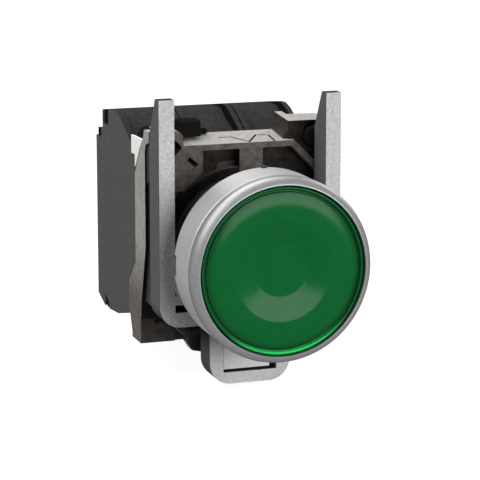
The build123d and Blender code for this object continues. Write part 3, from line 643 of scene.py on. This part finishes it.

# Collar: die-cast zinc with a dark taupe coat. It holds the sleeve, the two clamp screws
# and the blocks; its front is ribbed and its deck has a thin scribed groove. The side plates keep
# the pale taupe; the front faces and the hollows between the ribs carry painted shade, the rib
# fronts and low front faces painted light, and the side plates painted shade towards their foot.
collar_grain = 900.0
front_faces = (-0.35, -0.8)
hollow_faces = (0.6, 0.85)
plate_start = 14.8
rib_front_limit = 11.5
foot_limit = -12.5
plate_faces = (0.5, 0.8)
painted_foot_shade_end = -9.0
painted_foot_shade_start = 1.0


def facing_front(nodes, links):
    """1 on surfaces that face the front (-Y), 0 on those that don't."""
    return map_range(nodes, links, split_place(nodes, links, "Normal")[1], 0.0, 1.0, *front_faces)


def facing_side(nodes, links, start, end):
    """1 on surfaces that face left or right more than end, 0 on those that do less than start."""
    sideways = compute(nodes, links, "ABSOLUTE", split_place(nodes, links, "Normal")[0])
    return map_range(nodes, links, sideways, 0.0, 1.0, start, end)


def from_middle_plane(nodes, links):
    """Distance of a surface point from the plane between left and right, in metres."""
    return compute(nodes, links, "ABSOLUTE", split_place(nodes, links, "Object")[0])


def shade_front_faces(material, front_dark, front_light, grain):
    """Gives the surfaces that face the front colours of their own: painted shade on the collar, and on the
    clamp frame the plate's pale colour beside its painted-shade sides.
    """
    nodes, links = tree_of(material)
    blend_in(material, facing_front(nodes, links), front_dark, front_light, grain)


def paint_lit_front(material, axis, limit, dark, light, grain):
    """Paints light on the front faces that lie below a limit in millimetres along an axis (0, 1 or 2), in
    lighter colours.
    """
    nodes, links = tree_of(material)
    before = compute(nodes, links, "LESS_THAN", split_place(nodes, links, "Object")[axis], limit * MM)
    amount = compute(nodes, links, "MULTIPLY", before, facing_front(nodes, links))
    blend_in(material, amount, dark, light, grain)


def shade_inner_sides(material, reach, dark, light, grain):
    """Paints shade on the side faces that lie less than reach millimetres from the middle plane, in darker
    colours.
    """
    nodes, links = tree_of(material)
    deep = compute(nodes, links, "LESS_THAN", from_middle_plane(nodes, links), reach * MM)
    amount = compute(nodes, links, "MULTIPLY", deep, facing_side(nodes, links, *hollow_faces))
    blend_in(material, amount, dark, light, grain)


taupe_dark = (0.24, 0.228, 0.217)
taupe_casting = finish("taupe_casting", taupe_dark, (0.34, 0.323, 0.307), 1400.0,
                       roughness=(0.40, 0.52), metallic=0.1, bump=0.25, bump_depth=0.03)
quiet(taupe_casting, 0.01)
# painted shade: the collar's inner side faces, beside its ribs and pockets, are painted near black
shade_inner_sides(taupe_casting, plate_start, (0.025, 0.022, 0.020), (0.045, 0.040, 0.037), collar_grain)
# painted shade: the collar's front faces, in the shade of the bezel and the clamp frame, are painted near
# black
shade_front_faces(taupe_casting, (0.012, 0.010, 0.009), (0.026, 0.022, 0.020), collar_grain)
# painted light: the rib fronts before the hollows and the low front faces are painted lighter than the
# painted shade of the other fronts
paint_lit_front(taupe_casting, 1, rib_front_limit, (0.060, 0.053, 0.048), (0.120, 0.108, 0.098), collar_grain)
paint_lit_front(taupe_casting, 2, foot_limit, (0.042, 0.037, 0.034), (0.078, 0.069, 0.063), collar_grain)
nodes, links = tree_of(taupe_casting)
outside = compute(nodes, links, "GREATER_THAN", from_middle_plane(nodes, links), plate_start * MM)
plate = compute(nodes, links, "MULTIPLY", outside, facing_side(nodes, links, *plate_faces))
blend_in(taupe_casting, plate, taupe_dark, (0.33, 0.315, 0.30), collar_grain)
# painted shade: the side plates are painted darker towards their foot
low = map_range(nodes, links, split_place(nodes, links, "Object")[2], 1.0, 0.0,
                painted_foot_shade_end * MM, painted_foot_shade_start * MM)
blend_in(taupe_casting, compute(nodes, links, "MULTIPLY", plate, low),
         (0.070, 0.064, 0.058), (0.120, 0.110, 0.100), collar_grain)
dress("collar_body", taupe_casting, 0.14)

# Clamp frame: zinc casting with a pale sparkling plate, two uprights on a bar with a tab.
# Its sides and tops are painted dark, as shade. The tongue in the tab's window is painted
# brighter than the plate round it, as light on the floor of its pocket.
plate_grain = 3600.0
top_faces = (0.6, 0.9)
sparkle_grain = 3300.0
tongue_front = 6.1
tongue_top = -15.0


def shade_tops(material, dark, light, grain):
    """Paints shade on the surfaces that face up, in darker colours."""
    nodes, links = tree_of(material)
    upward = split_place(nodes, links, "Normal")[2]
    blend_in(material, map_range(nodes, links, upward, 0.0, 1.0, *top_faces), dark, light, grain)


# painted shade: the base colour is the dark of the frame's shaded sides
sparkle_plate = finish("sparkle_plate", (0.082, 0.082, 0.082), (0.120, 0.120, 0.120), plate_grain,
                       roughness=(0.40, 0.50), metallic=0.05, bump=0.3, bump_depth=0.02)
quiet(sparkle_plate, 0.0)
# painted shade: the frame's tops are painted darker
shade_tops(sparkle_plate, (0.026, 0.026, 0.026), (0.044, 0.044, 0.044), plate_grain)
# the clamp frame's front faces get the plate's pale colour, against the painted shade of its sides and tops
shade_front_faces(sparkle_plate, (0.38, 0.377, 0.382), (0.57, 0.565, 0.572), sparkle_grain)
nodes, links = tree_of(sparkle_plate)
_, along, upward = split_place(nodes, links, "Object")
# painted light: the tongue's front faces are painted brighter than the frame round them
tongue = compute(nodes, links, "MULTIPLY",
                 compute(nodes, links, "GREATER_THAN", along, tongue_front * MM),
                 compute(nodes, links, "LESS_THAN", upward, tongue_top * MM))
blend_in(sparkle_plate, compute(nodes, links, "MULTIPLY", tongue, facing_front(nodes, links)),
         (0.56, 0.555, 0.562), (0.66, 0.655, 0.662), sparkle_grain)
dress("clamp_frame", sparkle_plate, 0.16)

# Clamp screws: black oxide steel, headless, with a cross slot in the rear end. They turn
# in the collar's bosses and draw the clamp frame towards the panel.
black_oxide = finish("black_oxide", (0.006, 0.006, 0.006), (0.012, 0.012, 0.012), 2200.0,
                     roughness=(0.35, 0.45), bump=0.15)
quiet(black_oxide, 0.0)
dress("clamp_screw_left", black_oxide, 0.06)
dress("clamp_screw_right", black_oxide, 0.06)

# Locking ring: plated casting that turns in the collar. Its two lugs lie in the sleeve's
# groove, and its lever is pushed by hand.
lock_plate = finish("lock_plate", (0.035, 0.032, 0.030), (0.060, 0.056, 0.052), 2600.0,
                    roughness=(0.36, 0.46), metallic=0.2, bump=0.2)
quiet(lock_plate, 0.1)
dress("locking_ring", lock_plate, 0.1)

# Blocks: dark grey moulded housings with their rear covers, three side by side.
# The outer ones hold a contact each, the one between them the lamp.
housing_side = 14.7
housing_shade_grain = 1500.0
blocks = ("left", "light", "right")

grey_moulding = finish("grey_moulding", (0.080, 0.080, 0.076), (0.108, 0.108, 0.103), 2200.0,
                       roughness=(0.42, 0.52), bump=0.12, bump_depth=0.02)
# painted shade: the side faces between and inside the blocks are painted near black
shade_inner_sides(grey_moulding, housing_side, (0.006, 0.006, 0.006), (0.012, 0.012, 0.012), housing_shade_grain)
# painted shade: the blocks' tops are painted darker
shade_tops(grey_moulding, (0.022, 0.022, 0.022), (0.036, 0.036, 0.036), housing_shade_grain)
quiet(grey_moulding, 0.0)
for block in blocks:
    dress(block + "_housing", grey_moulding, 0.14)
    dress(block + "_cover", grey_moulding, 0.14)

# Plungers and catch: black moulded nylon. A plunger stands in each contact block, and
# the catch on the collar's deck holds the row of blocks.
black_moulding = finish("black_moulding", (0.006, 0.006, 0.006), (0.011, 0.011, 0.011), 1600.0,
                        roughness=(0.45, 0.55), bump=0.1)
quiet(black_moulding, 0.0)
dress("left_plunger", black_moulding, 0.06)
dress("right_plunger", black_moulding, 0.06)
dress("block_catch", black_moulding, 0.12)

# Release levers: white moulded nylon at the outer front corner of each contact block.
# A screwdriver in the lever's tip lets the block off the collar.
dress("left_release", white_moulding, 0.1)
dress("right_release", white_moulding, 0.1)

# Contacts: silver-faced bridges and bent brass terminal strips inside the blocks.
# The strips run from the bridge, or from the lamp's board, to the terminal screws.
contact_silver = finish("contact_silver", (0.66, 0.65, 0.62), (0.78, 0.77, 0.74), 1500.0,
                        roughness=(0.2, 0.3), metallic=1.0, bump=0.05)
dress("left_bridge", contact_silver, 0.05)
dress("right_bridge", contact_silver, 0.05)
terminal_brass = finish("terminal_brass", (0.52, 0.38, 0.16), (0.64, 0.48, 0.22), 1500.0,
                        roughness=(0.24, 0.34), metallic=1.0, bump=0.05)
for block in blocks:
    dress(block + "_terminals", terminal_brass, 0.05)

# Terminal screws and cable clamps: zinc-plated steel, two of each in the back of a block.
# The screws have cross slots and lie deep in round wells.
plated_steel = finish("plated_steel", (0.48, 0.47, 0.42), (0.62, 0.61, 0.56), 1500.0,
                      roughness=(0.22, 0.32), metallic=1.0, bump=0.08)
dress("terminal_screws", plated_steel, 0.06)
dress("cable_clamps", plated_steel, 0.06)

# Lamp and board: a milky domed lamp on a small green board in the middle block.
# The lamp shines through the carrier's tube into the lens.
lamp_plastic = finish("lamp_plastic", (0.66, 0.72, 0.66), (0.74, 0.80, 0.74), 700.0,
                      roughness=(0.2, 0.28), bump=0.04, coat=0.3)
dress("light_lamp", lamp_plastic, 0.08)
board_green = finish("board_green", (0.008, 0.07, 0.022), (0.014, 0.11, 0.035), 2500.0,
                     roughness=(0.3, 0.45), bump=0.1)
dress("light_board", board_green, 0.03)
